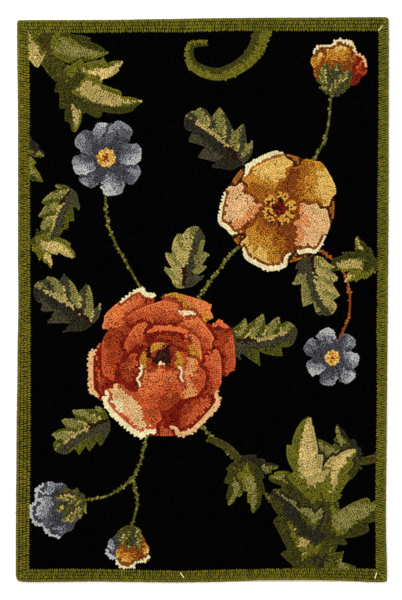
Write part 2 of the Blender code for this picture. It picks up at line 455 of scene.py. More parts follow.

# ----------------------------------------
# Hooking.  A loop is set at its place on the canvas, turned to its row, and pulled up to the
# height of the pile there, which the frame's face gives.  No two loops are quite alike, and the
# darker a yarn is, the more its loops differ and the deeper the painted shade towards their roots.
LOWEST_LOOP = 4.0 * MM
LOOP_ROOT = 0.1 * MM
LOOP_SIZE_SPREAD = 0.07
LOOP_HEIGHT_SPREAD = 0.25 * MM
LOOP_LEAN_SPREAD = 0.08
LOOP_TURN_SPREAD = 0.30
DYE_SPREAD = 0.20
DYE_LIMITS = (0.6, 1.5)
# How light a loop's root stays under its painted shade, for a yarn so bright and at most, and how the
# painted shade fades up the loop
ROOT_PAINTED_LIGHT = 1.5
ROOT_PAINTED_LIGHT_MOST = 0.8
ROOT_PAINTED_SHADE_FADE = 4.0
EDGE_WALL_SHARE = 0.42
ROUNDED_EDGE = 3 * MM  # the pile beside the face, where no ray from above meets it, is so much lower

widest = face_low.z + EDGE_WALL_SHARE * (face_high.z - face_low.z)
face_lines = feel_sides("hooked_face", widest, FACE_CLEAR)
dice = np.random.default_rng(41)


def pile_height(points):
    """The height of the frame's face over each point, felt from above."""
    skin = skin_of("hooked_face")
    down = Vector((0, 0, -1))
    heights = []
    for x, y in points:
        place = skin.ray_cast(Vector((x, y, 1)), down)[0]
        heights.append(place.z if place else pile_top - ROUNDED_EDGE)
    return np.array(heights)


def hook(name, loop, spots, finish, sunk=0.0):
    """Sets a loop on every spot and joins them into one piece.

    A spot has a place, a turn, a lean, the loop's length and width, its colour, and a share of
    looseness, from 0 for loops hooked with great care to 1 for the usual spread.  Some are sunk a
    little below the rest.
    """
    count = len(spots.turn)
    plan = fit_to_sides(spots.xy, face_lines)
    height = pile_height(plan) - sunk + spots.loose * dice.normal(0, LOOP_HEIGHT_SPREAD, count)
    height = (height - canvas_top).clip(LOWEST_LOOP, None)
    size = np.stack([spots.along, spots.across, height], 1)
    size[:, :2] *= 1 + (spots.loose * dice.normal(0, LOOP_SIZE_SPREAD, count))[:, None]
    body = loop.points[None] * size[:, None]
    turn = spots.turn + spots.loose * dice.normal(0, LOOP_TURN_SPREAD, count)
    cos, sin = np.cos(turn)[:, None], np.sin(turn)[:, None]
    lean = spots.lean + spots.loose[:, None] * dice.normal(0, LOOP_LEAN_SPREAD, (count, 2))
    rise = body[:, :, 2]
    x = plan[:, :1] + body[:, :, 0] * cos - body[:, :, 1] * sin + lean[:, :1] * rise
    y = plan[:, 1:] + body[:, :, 0] * sin + body[:, :, 1] * cos + lean[:, 1:] * rise
    points = np.stack([x, y, rise + canvas_top - LOOP_ROOT], 2)
    bright = spots.colour.mean(1)
    spread = DYE_SPREAD * (1 - np.sqrt(bright))
    shade = (1 + spread * dice.normal(0, 1, count)).clip(*DYE_LIMITS)
    # Painted shade: each loop grows darker from its top down to its root, the more so the darker its
    # yarn
    root = (ROOT_PAINTED_LIGHT * bright).clip(0, ROOT_PAINTED_LIGHT_MOST)[:, None]
    depth = root + (1 - root) * loop.points[:, 2] ** ROOT_PAINTED_SHADE_FADE
    colour = np.ones((count, len(loop.points), 4))
    colour[:, :, :3] = (spots.colour * shade[:, None])[:, None] * depth[:, :, None]
    step = len(loop.points) * np.arange(count)[:, None, None]
    triangles = (loop.triangles[None] + step).reshape(-1, 3)
    points = points.reshape(-1, 3)

    mesh = bpy.data.meshes.new(name)
    mesh.from_pydata(points, [], triangles)
    mesh.shade_smooth()
    mesh.attributes.new("yarn", "FLOAT_COLOR", "POINT").data.foreach_set("color", colour.ravel())
    plan_map = mesh.uv_layers.new(name="OFBake")
    flat = points[triangles.ravel(), :2] / RUG_LENGTH + 0.5
    plan_map.data.foreach_set("uv", flat.ravel())
    mesh.validate()
    piece = bpy.data.objects.new(name, mesh)
    bpy.context.scene.collection.objects.link(piece)
    finish_piece(piece, finish, "hooked_face")


# ----------------------------------------
# Border.  Four rows of olive wool run round the rug and meet in a mitre at each corner.  The loops
# of neighbouring rows fall into ribs across the border and out of them again, as the rows differ a
# little in length.  The outermost row is smoother, and hides the turned edge.
ROW_INSETS = np.array([2.5, 7.2, 12.2, 17.3]) * MM
RIB_STEP = (3.95 * MM, 3.70 * MM)  # along the sides, along the ends
RIB_WANDER = 0.26 * MM
LOOP_WANDER = 0.16 * MM
LOOP_WANDER_MOST = 0.5 * MM
EDGE_LOOP = SimpleNamespace(along=5.2 * MM, across=5.8 * MM, lean=0.08, loose=0.3)
RIB_LOOP = SimpleNamespace(along=3.7 * MM, across=6.2 * MM, lean=0.0, loose=0.95)
# The wool is not quite one colour all round: how green each side is, how brown its outermost row
# is, and how strong its colour, which is painted light and shade, darkest on the near side
SIDE_DYE_AND_PAINTED_SHADE = {
    "left": SimpleNamespace(green=0.1, brown=0.0, strength=1.03),
    "right": SimpleNamespace(green=0.5, brown=0.0, strength=0.98),
    "near": SimpleNamespace(green=0.4, brown=1.0, strength=0.9),
    "far": SimpleNamespace(green=0.7, brown=0.1, strength=0.98),
}
DYE_DRIFT = 0.05
DRIFT_LENGTH = 38 * MM
MITRE_LOOP = 5.4 * MM
CROWDED = 1.9
BORDER = -2


class Canvas:
    """The holes of the canvas that are taken, in millimetres, in cells so that they are found fast."""

    CELL = 4.0

    def __init__(self):
        self.cells = {}
        self.spots = []

    def is_free(self, x, y, gap):
        column, row = int(x // self.CELL), int(y // self.CELL)
        for i in (column - 1, column, column + 1):
            for j in (row - 1, row, row + 1):
                for taken_x, taken_y in self.cells.get((i, j), ()):
                    if (taken_x - x) ** 2 + (taken_y - y) ** 2 < gap * gap:
                        return False
        return True

    def take(self, x, y, turn, owner):
        cell = (int(x // self.CELL), int(y // self.CELL))
        self.cells.setdefault(cell, []).append((x, y))
        self.spots.append((x, y, turn, owner))


holes = Canvas()
rows = []
for side, (axis, sign) in SIDES.items():
    dye = SIDE_DYE_AND_PAINTED_SHADE[side]
    stations = np.arange(-HALF_RUG[1 - axis], HALF_RUG[1 - axis], RIB_STEP[axis])
    rib_wander = dice.normal(0, RIB_WANDER, len(stations))
    for row, inset in enumerate(ROW_INSETS):
        kind = EDGE_LOOP if row == 0 else RIB_LOOP
        half_row = HALF_RUG[1 - axis] - inset
        count = round(2 * half_row / RIB_STEP[axis]) + 1
        along = np.linspace(-half_row, half_row, count)
        at_mitre = np.abs(along) > half_row - MM
        wander = np.interp(along, stations, rib_wander) + dice.normal(0, LOOP_WANDER, count)
        along += np.where(at_mitre, 0, wander.clip(-LOOP_WANDER_MOST, LOOP_WANDER_MOST))
        xy = np.empty((count, 2))
        xy[:, axis] = sign * (HALF_RUG[axis] - inset)
        xy[:, 1 - axis] = along
        turn = np.full(count, 0.0 if axis else math.pi / 2)
        turn[at_mitre] = -np.sign(xy[at_mitre].prod(1)) * math.pi / 4
        xy = round_corners(xy, FACE_CORNERS)
        free = np.array([holes.is_free(x, y, CROWDED) for x, y in xy / MM])
        yarns = np.where(dice.random(count) < dye.green, "green olive", "olive")
        if row == 0:
            yarns[dice.random(count) < dye.brown] = "brown olive"
        out = np.zeros((count, 2))
        out[:, axis] = sign
        # The side's strength is painted light and shade, darkest on the near side where the light falls
        # off
        colour = np.array([yarn_colour[yarn] for yarn in yarns]) * dye.strength
        colour *= 1 + DYE_DRIFT * np.sin(along / DRIFT_LENGTH + 2 * sign)[:, None]
        spots = {
            "xy": xy,
            "turn": turn,
            "lean": out * kind.lean,
            "along": np.where(at_mitre, MITRE_LOOP, kind.along),
            "across": np.full(count, kind.across),
            "loose": np.full(count, kind.loose),
            "colour": colour,
        }
        rows.append({field: values[free] for field, values in spots.items()})
    for spots in rows[-len(ROW_INSETS):]:
        for (x, y), turn in zip(spots["xy"] / MM, spots["turn"]):
            holes.take(x, y, turn, BORDER)
edge_rows = rows[::len(ROW_INSETS)]
rib_rows = [spots for number, spots in enumerate(rows) if number % len(ROW_INSETS)]
for name, loop, rows in (("edge_loops", edge_loop, edge_rows), ("border_loops", rib_loop, rib_rows)):
    spots = {field: np.concatenate([row[field] for row in rows]) for field in rows[0]}
    hook(name, loop, SimpleNamespace(**spots), coloured_wool)

# ----------------------------------------
# The design, drawn on the canvas in millimetres from its middle: two big blooms, daisies, buds,
# lobed leaves and scrolls on thin stems, each shaded with a few yarns in ragged strokes.
SPINE_STEPS = 110
STEM_STEPS = 24
LINE_ROW = 4.8
OUTLINE_STEP = 0.7
ROUGH_OUTLINE_STEP = 1.4
DISC_STEPS = 48
pencil = np.random.default_rng(5)
design = []


def fingers(across, phase):
    """How far one shade runs into the next, in uneven strokes across a shape."""
    return (
        0.5 * np.sin(3.7 * across + phase)
        + 0.35 * np.sin(9.1 * across + 2.1 * phase)
        + 0.15 * np.sin(21 * across + 0.7 * phase)
    )


def draw(shape, shading):
    """Adds a shape to the design, under all that is drawn already."""
    shape.shading = shading
    design.append(shape)


def even_steps(line, step):
    """A line of points at an even step along it, with any further columns that it has."""
    length = np.concatenate([[0], np.cumsum(np.hypot(*np.diff(line[:, :2], axis=0).T))])
    at = np.arange(0, length[-1], step)
    return np.stack([np.interp(at, length, column) for column in line.T], 1)


def close(outline):
    """An outline with its first point once more at the end."""
    return np.vstack([outline, outline[:1]])


def unit(steps):
    """Vectors of length one."""
    return steps / np.maximum(np.linalg.norm(steps, axis=1), 1e-9)[:, None]


def left_of(ahead):
    """Directions a quarter turn to the left."""
    return np.stack([-ahead[:, 1], ahead[:, 0]], 1)


def blade(base, heading, length, width, bend=0, belly=0.5, fullness=1.0, foot=0.0, teeth=0,
          tooth=0.0, ruffle=0.0):
    """A petal, leaf or plume: a spine that bends by so many degrees, widest at its belly."""
    phase = pencil.uniform(0, 6) if teeth or ruffle else 0.0
    share = np.linspace(0, 1, SPINE_STEPS)
    angle = np.radians(heading + bend * (share - 0.35))
    ahead = np.stack([np.cos(angle), np.sin(angle)], 1)
    steps = (ahead[1:] + ahead[:-1]) / 2 * length / (SPINE_STEPS - 1)
    spine = np.array(base, float) + np.vstack([[0, 0], np.cumsum(steps, 0)])
    rise = (np.clip(share, 1e-4, 1) / belly) ** (belly * fullness)
    fall = ((1 - share) / (1 - belly)) ** ((1 - belly) * fullness)
    half = width / 2 * np.maximum(rise * fall, foot * (1 - share) ** 1.5)
    edges = []
    for number, side in enumerate((1, -1)):
        edge = half.copy()
        if teeth:
            saw = share ** 1.1 * teeth + 0.45 * number + 0.16 * np.sin(8 * share + phase)
            depth = tooth * (1 + 0.35 * np.sin(5 * share + 2 * phase + number))
            edge *= 1 + depth * (saw % 1.0 - 0.75) * np.clip(2.2 * np.sin(math.pi * share), 0, 1)
        edge *= 1 + ruffle * np.sin(7 * math.pi * share + phase + 1.7 * number)
        edges.append(edge)
    normal = left_of(ahead)
    left = spine + normal * edges[0][:, None]
    right = spine - normal * edges[1][:, None]
    outline = np.vstack([left, right[::-1][1:-1]])
    return SimpleNamespace(
        outline=outline, spine=spine, half=half, normal=normal, share=share,
        angle=np.degrees(angle), rows=0,
    )


def disc(centre, radius, wobble, waves=7):
    """A round spot with a slightly lobed edge."""
    angle = np.linspace(0, 2 * math.pi, DISC_STEPS, endpoint=False)
    reach = radius * (1 + wobble * np.sin(waves * angle))
    outline = np.stack([np.cos(angle), np.sin(angle)], 1) * reach[:, None] + centre
    return SimpleNamespace(
        outline=outline, spine=None, centre=np.array(centre), radius=radius, rows=0
    )


def ribbon(spine, half):
    """A shape of a given half width along a line, hooked in rows that follow the line."""
    line = even_steps(np.column_stack([spine, half]), OUTLINE_STEP)
    spine, half = line[:, :2], line[:, 2]
    normal = left_of(unit(np.gradient(spine, axis=0)))
    outline = np.vstack([spine + normal * half[:, None], (spine - normal * half[:, None])[::-1]])
    share = np.linspace(0, 1, len(spine))
    rows = max(1, round(2 * half.max() / LINE_ROW))
    return SimpleNamespace(
        outline=outline, spine=spine, half=half, normal=normal, share=share, rows=rows
    )


def stroke(points, width, taper=0.3):
    """A stem: a smooth line through a few points, thinner towards its far end."""
    points = np.array(points, float)
    ends = (2 * points[0] - points[1], 2 * points[-1] - points[-2])
    knots = np.vstack([ends[0], points, ends[1]])
    way = np.linspace(0, 1, STEM_STEPS, endpoint=False)[:, None]
    spine = []
    for a, b, c, d in zip(knots, knots[1:], knots[2:], knots[3:]):
        curve = 2 * b + (c - a) * way + (2 * a - 5 * b + 4 * c - d) * way ** 2
        spine.append((curve + (3 * b - a - 3 * c + d) * way ** 3) / 2)
    spine = np.vstack(spine + [points[-1:]])
    return ribbon(spine, width / 2 * (1 - taper * np.linspace(0, 1, len(spine))))


def lip(petal, first, last, width):
    """The turned-over edge of a petal: a crescent just inside its outline, between two shares of it."""
    count = len(petal.outline)
    rim = petal.outline[round(first * count):round(last * count)]
    outward = left_of(unit(np.gradient(rim, axis=0)))
    half = width / 2 * np.sin(math.pi * np.linspace(0.06, 0.94, len(rim))) ** 0.6
    return ribbon(rim - outward * half[:, None], half)


def petal_shading(shades, lit, hidden, phase):
    """Four shades from a petal's shadowed throat to its light edge, in ragged strokes."""
    def shading(along, across, under, grain):
        seen = (along - hidden) / (1 - hidden)
        level = seen + 0.17 * fingers(across, phase) + 0.03 * grain + lit * across
        level[under < 5 + 1.2 * grain] = 0
        return np.array(shades, dtype=object)[np.digitize(level, (0.20, 0.46, 0.76))]
    return shading


def leaf_shading(shades, vein, rib, flip, phase):
    """A leaf in a dark and a light half, with lobes of light between its side veins."""
    def shading(along, across, under, grain):
        dark, middle, light = shades
        side = across * flip
        drift = 0.10 * fingers(1.4 * along, phase) + 0.03 * grain
        lobe = (4 * along - 0.9 * np.abs(across) + phase) % 1.0
        yarns = np.full(len(along), middle, dtype=object)
        yarns[side < 0] = dark
        yarns[(side < -0.45 + drift) & (along > 0.25) & (along < 0.85)] = middle
        yarns[(side > 0.10 + drift) & (lobe < 0.55) & (along > 0.08)] = light
        yarns[(side > 0.10) & (side < 0.55) & (lobe > 0.86) & (along < 0.8)] = vein
        middle_line = np.abs(across) < 0.10 + 0.02 * grain
        yarns[middle_line & (along < 0.85)] = vein
        yarns[middle_line & (along < 0.33 + 0.05 * grain)] = rib
        yarns[under < 4] = dark
        return yarns
    return shading


def lobe_shading(shades, flip, phase):
    """A lobe of a scrolling leaf: dark foot and shadow side, with a pale tongue down its middle."""
    def shading(along, across, under, grain):
        dark, middle, light = shades
        side = across * flip
        drift = 0.14 * fingers(2.4 * along, phase) + 0.03 * grain
        yarns = np.full(len(along), middle, dtype=object)
        yarns[side < -0.42 + drift + 0.3 * along] = dark
        tongue = 0.52 * np.clip(1.15 - along, 0, 1) ** 0.6 + drift
        yarns[(np.abs(side - 0.22) < tongue) & (along > 0.24 + drift)] = light
        yarns[along < 0.13 + 0.5 * drift] = dark
        yarns[under < 4] = dark
        return yarns
    return shading


def speckled(main, fleck, share):
    """One yarn with flecks of another."""
    def shading(along, across, under, grain):
        yarns = np.full(len(along), main, dtype=object)
        yarns[grain > share] = fleck
        return yarns
    return shading


def around(heart, heading, reach):
    """A place at a heading and a distance from a flower's heart."""
    angle = math.radians(heading)
    return heart[0] + reach * math.cos(angle), heart[1] + reach * math.sin(angle)


def petal(heart, size, heading, start, length, width, palette, bend=0, hidden=0.0, fullness=0.68,
          foot=0.3, lit=None, rim=None, inwards=False):
    """A petal, in shares of the flower's size, which starts so far from the heart.

    Its rim says between which shares of its outline the edge is turned over, and how broadly.
    """
    shades, turned = palette
    shape = blade(around(heart, heading, start * size), heading + 180 * inwards, length * size,
                  width * size, bend=bend, belly=0.62, fullness=fullness, foot=foot, ruffle=0.07)
    if rim:
        draw(lip(shape, *rim), speckled(turned, shades[-1], 1.8))
    if lit is None:
        lit = pencil.choice([-0.3, 0.3])
    draw(shape, petal_shading(shades, lit, hidden, pencil.uniform(0, 6)))


DEEP = (("red", "brick", "brick", "coral"), "light coral")
CORAL = (("red", "brick", "coral", "light coral"), "peach")
ORANGE = (("brick", "coral", "light coral", "orange"), "cream")
PEACH = (("coral", "apricot", "peach", "peach"), "cream")
PALE = (("coral", "peach", "peach", "cream"), "cream")
RUSTY = (("brick", "rust", "gold", "orange"), "peach")
BROWN_GOLD = (("bark", "brown", "ochre", "ochre"), "yellow")
OCHRE = (("brown", "ochre", "gold", "yellow"), "cream")
YELLOW = (("ochre", "gold", "yellow", "yellow"), "cream")
HONEY = (("brown", "apricot", "peach", "peach"), "cream")
SLATE = (("navy", "blue", "grey blue", "mist"), "mist")
DARK_SLATE = (("navy", "navy", "blue", "grey blue"), "grey blue")


def peony(heart, size):
    """A full bloom: a dark heart in a bowl of petals, and broad petals that fall open around it."""
    draw(disc(around(heart, 80, 0.10 * size), 0.07 * size, 0.1), speckled("bark", "maroon", 0.5))
    for heading in (30, 90, 150):
        petal(heart, size, heading, 0.04, 0.26, 0.30, (("maroon", "red", "brick", "gold"), "gold"))
    for *shape, first, last in (
        (266, 0.62, 0.66, 0.62, ORANGE, 10, 0.24, 0.70),
        (206, 0.60, 0.60, 0.56, CORAL, -24, 0.36, 0.74),
        (326, 0.64, 0.62, 0.60, PEACH, 26, 0.22, 0.62),
    ):
        petal(heart, size, *shape, lit=0.2, rim=(first, last, 5.2), inwards=True)
    for heading, start, length, width, palette, bend, *rim in (
        (76, 0.14, 0.40, 0.56, DEEP, 16, 0.36, 0.64),
        (24, 0.16, 0.42, 0.46, RUSTY, -24),
        (132, 0.16, 0.44, 0.48, CORAL, 22),
        (100, 0.34, 0.48, 0.74, CORAL, 16),
        (46, 0.34, 0.46, 0.66, ORANGE, -10, 0.30, 0.50),
        (352, 0.36, 0.46, 0.62, CORAL, 12),
        (170, 0.34, 0.48, 0.66, DEEP, 14),
        (236, 0.40, 0.58, 0.84, PALE, -12, 0.30, 0.70),
        (306, 0.42, 0.56, 0.80, CORAL, 14, 0.32, 0.72),
        (14, 0.50, 0.52, 0.74, DEEP, -14, 0.28, 0.46),
        (66, 0.52, 0.48, 0.72, RUSTY, 10),
        (122, 0.50, 0.52, 0.80, ORANGE, 12, 0.50, 0.72),
        (188, 0.50, 0.50, 0.72, CORAL, -12, 0.40, 0.62),
        (270, 0.44, 0.52, 0.70, DEEP, 0),
    ):
        petal(heart, size, heading, start, length, width, palette, bend, hidden=0.25,
              rim=rim and (*rim, 0.075 * size))


def anemone(heart, size):
    """An open bloom: a ring of stamens, five broad petals, and darker ones that peep out between."""
    draw(disc(heart, 0.12 * size, 0.12), speckled("red", "maroon", 0.3))
    for number in range(12):
        heading = 30 * number + pencil.uniform(-7, 7)
        draw(blade(around(heart, heading, 0.09 * size), heading, 0.20 * size, 0.10 * size, belly=0.7),
             speckled("amber", "bark", 0.5))
    for heading, length, palette, bend, *rim in (
        (252, 0.94, OCHRE, -12, 0.30, 0.60),
        (326, 0.82, HONEY, 18, 0.50, 0.70),
        (36, 0.92, OCHRE, -10),
        (108, 0.84, YELLOW, 14, 0.40, 0.56),
        (180, 0.90, HONEY, -18, 0.32, 0.52),
    ):
        petal(heart, size, heading, 0.10, length, 0.84, palette, bend, hidden=0.1, fullness=0.8,
              foot=0.1, rim=rim and (*rim, 0.08 * size))
    for heading in (290, 0, 72, 146, 216):
        petal(heart, size, heading, 0.36, 0.56, 0.60, BROWN_GOLD)


def daisy(centre, radius, turn, count):
    """A blue daisy with a round yellow eye."""
    draw(disc(centre, 0.13 * radius, 0.06, 5), speckled("rust", "amber", 0.4))
    draw(disc(centre, 0.27 * radius, 0.10, 9), speckled("yellow", "gold", 0.4))
    for number in range(count):
        heading = turn + 360 * number / count + pencil.uniform(-7, 7)
        palette = (SLATE, DARK_SLATE)[number % 2]
        size = radius * pencil.uniform(0.9, 1.1)
        petal(centre, size, heading, 0.2, 0.82, 0.62, palette, pencil.uniform(-18, 18), fullness=0.75)


GREY_LEAF = (("pine", "grey leaf", "sage"), "tan")
GREEN_LEAF = (("grey leaf", "moss", "sage"), "tan")
PALE_LEAF = (("grey leaf", "sage", "tan"), "tan")


def leaf(base, heading, length, width, bend, colours, flip=1, rib="maroon"):
    """A lobed leaf."""
    shades, vein = colours
    draw(
        blade(base, heading, length, width, bend=bend, belly=0.40, fullness=0.95, foot=0.05,
              teeth=4, tooth=0.46),
        leaf_shading(shades, vein, rib, flip, pencil.uniform(0, 1)),
    )


def bud(base, heading, size, palette):
    """A half-open bud in its green cup."""
    for side in (-30, 30, 0):
        leaf(base, heading + side, 0.60 * size, 0.34 * size, -side * 1.2, GREEN_LEAF, rib="moss")
    mouth = around(base, heading, 0.1 * size)
    for number, side in enumerate((0, -26, 26)):
        petal(mouth, size, heading + side, 0, 0.88 if side else 1, 0.58,
              palette[number % len(palette)], -0.9 * side, hidden=0.3, fullness=0.95,
              rim=(0.40, 0.60, 6))


DARK_LOBE = ("pine", "moss", "sage")
OLIVE_LOBE = ("dark olive", "leaf olive", "tan")
GREEN_LOBE = ("dark olive", "leaf olive", "sage")
TAN_LOBE = ("leaf olive", "tan", "sand")
LOBES = (OLIVE_LOBE, TAN_LOBE, GREEN_LOBE, DARK_LOBE)


def acanthus(base, heading, length, bend, size, pairs, lead=1, shift=0):
    """A scrolling leaf: a broad curved body with a curled tip and pairs of pointed lobes."""
    way = blade(base, heading, length, 12, bend=bend)
    draw(ribbon(way.spine[8:-12], np.linspace(3.4, 2.1, SPINE_STEPS - 20)),
         speckled("dark olive", "bark", 0.9))
    draw(
        blade(way.spine[-16], way.angle[-16] + 6 * lead, 1.05 * size, 0.48 * size, bend=66 * lead,
              belly=0.32, fullness=1.15, foot=0.7, teeth=3, tooth=0.36),
        lobe_shading(LOBES[shift % 4], lead, pencil.uniform(0, 6)),
    )
    for number in range(pairs):
        share = 0.80 - 0.72 * number / max(pairs - 1, 1)
        place = round(share * (SPINE_STEPS - 1))
        for side in (lead, -lead):
            reach = size * (0.74 + 0.32 * (1 - share)) * pencil.uniform(0.88, 1.12)
            off = side * (36 + 30 * (1 - share) + pencil.uniform(-6, 6))
            draw(
                blade(way.spine[place], way.angle[place] + off, reach, 0.54 * reach,
                      bend=side * pencil.uniform(24, 54), belly=0.30, fullness=1.25, foot=0.7,
                      teeth=3, tooth=0.42),
                lobe_shading(LOBES[(shift + number + (side > 0)) % 4], -side, pencil.uniform(0, 6)),
            )
    body = 0.27 * size if pairs > 1 else 0.16 * size
    draw(blade(base, heading, 1.1 * length, body, bend=bend, belly=0.4, fullness=0.6, foot=0.8),
         speckled("dark olive", "moss", 0.6))


def dark_sided(dark, main):
    """One yarn, with a darker one along a side."""
    def shading(along, across, under, grain):
        return np.where(across < -0.15 + 0.15 * grain, dark, main).astype(object)
    return shading


# What lies on top is drawn first, because it is hooked first
peony((-70, -104), 122)
anemone((124, 150), 98)
daisy((-160, 236), 58, 10, 8)
daisy((212, -96), 46, 0, 7)

bud((206, 340), 74, 84, [OCHRE, CORAL])
bud((-196, -330), 196, 84, [SLATE])
bud((-118, -372), 262, 64, [OCHRE, SLATE])

leaf((-184, -40), 142, 116, 82, 34, GREY_LEAF, flip=-1)
leaf((-156, -196), 206, 104, 70, 30, GREEN_LEAF, flip=-1)
leaf((44, -64), 4, 112, 74, 30, GREEN_LEAF)
leaf((62, 222), 134, 126, 84, 30, GREY_LEAF, flip=-1)
leaf((178, 72), 284, 104, 70, 34, PALE_LEAF)
leaf((-32, 22), 82, 104, 68, -34, PALE_LEAF)
leaf((-218, 186), 244, 92, 60, 26, GREEN_LEAF, flip=-1)

acanthus((-262, 456), 290, 120, 70, 124, 2, lead=1)
acanthus((-300, 318), 262, 56, 40, 84, 1, lead=1, shift=2)
acanthus((170, -456), 72, 168, 84, 134, 3, lead=-1, shift=1)
acanthus((300, -250), 200, 60, -60, 88, 1, lead=-1, shift=3)
acanthus((306, 40), 150, 40, 40, 76, 1, lead=1)
acanthus((-306, 90), 14, 36, -40, 70, 1, lead=-1, shift=1)
acanthus((6, -226), 326, 84, -50, 84, 1, lead=-1, shift=2)

GREEN_STEM = speckled("moss", "sage", 0.5)
RUST_STEM = speckled("rust", "ochre", 0.4)
for shading, width, *points in (
    (GREEN_STEM, 6, (150, -380), (96, -310), (30, -240), (-20, -190)),
    (GREEN_STEM, 6, (-20, -10), (24, 50), (64, 96), (96, 116)),
    (GREEN_STEM, 5, (-160, 236), (-158, 130), (-120, 50), (-90, 0)),
    (RUST_STEM, 5, (150, 110), (226, 50), (240, -20), (216, -80)),
    (GREEN_STEM, 5, (160, 200), (198, 266), (208, 340)),
    (GREEN_STEM, 5, (-90, -200), (-110, -280), (-150, -318), (-198, -330)),
    (GREEN_STEM, 5, (-118, -290), (-108, -330), (-118, -374)),
):
    draw(stroke(points, width), shading)
draw(stroke([(98, 446), (74, 398), (26, 372), (-18, 388), (-22, 420), (6, 424)], 30, taper=0.75),
     dark_sided("dark olive", "leaf olive"))

# ----------------------------------------
# Rows of the design.  Each shape is hooked from its outline inwards, row by row, where nothing
# above it is hooked yet; lines and stems are hooked along their length.  The loops shuffle up to
# each other, but for those that draw an outline or a line, and bare spots are filled.
DESIGN_ROW = 4.0
DESIGN_GAP = 0.97 * 3.45
FIRST_ROW = 0.45  # the outline's own row lies so much of a row inside it
MOST_ROWS = 40
INSET_SLACK = 0.35
LINE_GAP = 3.0
GROUND_ROW = 4.6
GROUND_STEP = 3.97
GROUND_GAP = 3.4
GROUND_INSET = 1.5
FIELD_MARGIN = 1.0
HALF_FIELD = (HALF_RUG - BORDER_WIDTH) / MM
GROUND = -1
FAR_OFF = 99.0
SHADOW_REACH = 9
GROUND_REACH = 4.18
DESIGN_REACH = 3.65
LINE_REACH = 3.0
PUSH = 0.22
BARE_SHARE = 0.72
LATTICE_STEP = 1.3
PATCH_GAP = 0.8 * DESIGN_REACH
LOOP_JITTER = 0.22
AT_ONCE = 2000


def inside(outline, points):
    """Which points lie inside a closed outline."""
    x, y = points[:, :1], points[:, 1:]
    start, end = outline, np.roll(outline, -1, 0)
    spans = (start[:, 1] > y) != (end[:, 1] > y)
    rise = np.where(spans, end[:, 1] - start[:, 1], 1)
    crossing = (end[:, 0] - start[:, 0]) * (y - start[:, 1]) / rise + start[:, 0]
    return (spans & (x < crossing)).sum(1) % 2 == 1


def from_edge(outline_points, points):
    """How far points lie from an outline that is given by close points."""
    far = np.empty(len(points))
    for first in range(0, len(points), AT_ONCE):
        some = slice(first, first + AT_ONCE)
        gap = points[some, None] - outline_points[None]
        far[some] = np.sqrt((gap ** 2).sum(2).min(1))
    return far


def along_and_across(shape, points):
    """Where points lie on a shape: the share along its spine, and from -1 to 1 across it."""
    if shape.spine is None:
        offset = points - shape.centre
        return np.hypot(*offset.T) / shape.radius, np.arctan2(offset[:, 1], offset[:, 0]) / math.pi
    gap = points[:, None] - shape.spine[None]
    nearest = (gap ** 2).sum(2).argmin(1)
    offset = points - shape.spine[nearest]
    across = (offset * shape.normal[nearest]).sum(1) / np.maximum(shape.half[nearest], 0.5)
    return shape.share[nearest], across


def owners_of(points, shapes):
    """The topmost of some shapes at each point, or the ground."""
    found = np.full(len(points), GROUND)
    for number, shape in enumerate(shapes):
        low, high = shape.outline.min(0), shape.outline.max(0)
        near = (found == GROUND) & (points > low).all(1) & (points < high).all(1)
        if near.any():
            found[np.flatnonzero(near)[inside(shape.outline, points[near])]] = number
    return found


def hook_row(spots, turns, owner, gap):
    """Takes the free holes of a row, but for those that a shape above covers."""
    kept = (np.abs(spots) < HALF_FIELD - FIELD_MARGIN).all(1)
    kept[kept] = owners_of(spots[kept], design[:owner]) == GROUND
    for (x, y), turn in zip(spots[kept], turns[kept]):
        if holes.is_free(x, y, gap):
            holes.take(x, y, turn, owner)


drawn = []
for owner, shape in enumerate(design):
    first = len(holes.spots)
    if shape.rows:
        turns = np.arctan2(-shape.normal[:, 0], shape.normal[:, 1])
        for row in range(shape.rows):
            side = (row + 0.5) / shape.rows * 2 - 1
            spots = shape.spine + shape.normal * (shape.half * side)[:, None]
            hook_row(spots, turns, owner, LINE_GAP)
        drawn += range(first, len(holes.spots))
        continue
    outline = even_steps(close(shape.outline), OUTLINE_STEP)
    turned = np.roll(outline, -1, 0)
    ahead = unit(turned - np.roll(outline, 1, 0))
    area = (outline[:, 0] * turned[:, 1] - turned[:, 0] * outline[:, 1]).sum() / 2
    inward = left_of(ahead) * np.sign(area)
    turns = np.arctan2(ahead[:, 1], ahead[:, 0])
    for row in range(MOST_ROWS):
        inset = (row + FIRST_ROW) * DESIGN_ROW
        spots = outline + inward * inset
        kept = inside(shape.outline, spots)
        kept[kept] = from_edge(outline, spots[kept]) > inset - INSET_SLACK
        if not kept.any():
            break
        hook_row(spots[kept], turns[kept], owner, DESIGN_GAP)
        if row == 0:
            drawn += range(first, len(holes.spots))

ground_rows = np.arange(-HALF_FIELD[1] + GROUND_INSET, HALF_FIELD[1], GROUND_ROW)
for number, y in enumerate(ground_rows):
    first = -HALF_FIELD[0] + GROUND_INSET + GROUND_STEP / 2 * (number % 2)
    across = np.arange(first, HALF_FIELD[0], GROUND_STEP)
    spots = np.stack([across, np.full(len(across), y)], 1)
    for x, _ in spots[owners_of(spots, design) == GROUND]:
        if holes.is_free(x, y, GROUND_GAP):
            holes.take(x, y, 0.0, GROUND)

spots = np.array(holes.spots)
xy, turn, owner = spots[:, :2], spots[:, 2], spots[:, 3].astype(int)
held = owner == BORDER
held[drawn] = True
# Which owners are lines; the two last places answer for the ground and the border, -1 and -2
lines = np.array([bool(shape.rows) for shape in design] + [False, False])


def reach_of(owner):
    """How far from each other loops like to stand: close in lines, wider on the ground."""
    return np.where(owner < 0, GROUND_REACH, np.where(lines[owner], LINE_REACH, DESIGN_REACH))


def tree_of(points):
    """A tree that finds the loops near a place."""
    tree = kdtree.KDTree(len(points))
    for number, (x, y) in enumerate(points):
        tree.insert((x, y, 0), number)
    tree.balance()
    return tree


